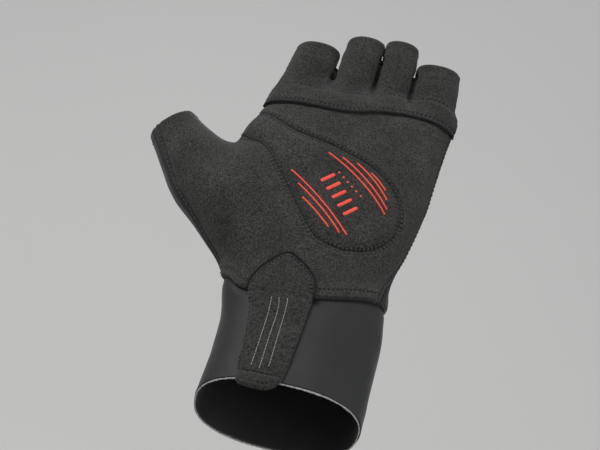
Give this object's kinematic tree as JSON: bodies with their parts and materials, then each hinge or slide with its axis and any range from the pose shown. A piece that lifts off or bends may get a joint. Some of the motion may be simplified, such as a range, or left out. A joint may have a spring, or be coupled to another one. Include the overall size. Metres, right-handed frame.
{
  "type": "cycling glove",
  "caption": "Fingerless left-hand cycling glove in its worn shape: suede palm with a padded panel, folded finger panel, stretch back, long stretch cuff and a stitched pull tab.",
  "frame": {"origin": "centre of the wrist opening, in the plane of the cuff's edge, where the hand goes in", "axes": "+Z towards the fingers, -Y out of the palm, -X towards the thumb"},
  "size_m": [0.1452, 0.062, 0.2124],
  "materials": {
    "suede": "matte napped synthetic suede",
    "stretch_cloth": "smooth stretch knit with a faint sheen",
    "pale_edge": "pale raw edge of the bonded cloth",
    "thread": "twisted polyester sewing thread",
    "pale_thread": "grey twisted polyester sewing thread",
    "red_print": "thin raised silicone print"
  },
  "bodies": {
    "root": {"cuff": "stretch_cloth", "cuff_edging": "pale_edge", "palm_panel": "suede", "pad_panel": "suede", "finger_panel": "suede", "back_panel": "stretch_cloth", "pull_tab": "suede"}
  },
  "joints": []
}
